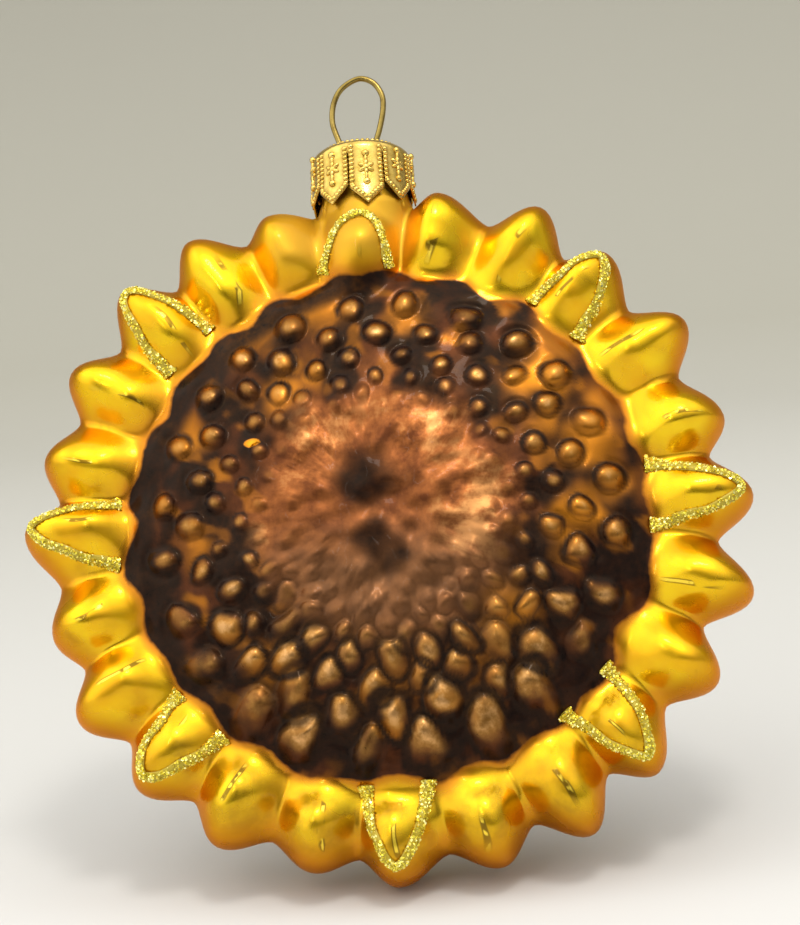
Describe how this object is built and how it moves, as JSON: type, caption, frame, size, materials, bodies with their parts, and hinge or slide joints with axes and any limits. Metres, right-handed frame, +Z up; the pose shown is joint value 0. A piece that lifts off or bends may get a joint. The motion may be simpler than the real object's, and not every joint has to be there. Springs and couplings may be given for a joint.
{
  "type": "sunflower glass ornament",
  "caption": "Mouth-blown glass hanging ornament shaped as a sunflower, with lacquered petals, a beaded brown seed head, glitter outlines, a stamped gold cap and a wire hanger loop.",
  "frame": {"origin": "point inside the top of the wire loop, where a hook carries the ornament", "axes": "+Z up along the hanging line, -Y out of the flower's face, +X to the right as seen from the front"},
  "size_m": [0.1015, 0.0278, 0.1177],
  "materials": {
    "glass": "silvered inside and lacquered yellow and brown outside, glossy",
    "cap": "bright stamped sheet",
    "wire": "drawn wire",
    "glitter": "coarse gold glitter in clear glue"
  },
  "bodies": {
    "root": {"glass_body": "glass", "cap": "cap", "hanger_wire": "wire", "glitter_front_1": "glitter", "glitter_front_2": "glitter", "glitter_front_3": "glitter", "glitter_front_4": "glitter", "glitter_front_5": "glitter", "glitter_front_6": "glitter", "glitter_front_7": "glitter", "glitter_front_8": "glitter", "glitter_back_1": "glitter", "glitter_back_2": "glitter", "glitter_back_3": "glitter", "glitter_back_4": "glitter", "glitter_back_5": "glitter", "glitter_back_6": "glitter", "glitter_back_7": "glitter", "glitter_back_8": "glitter"}
  },
  "joints": []
}
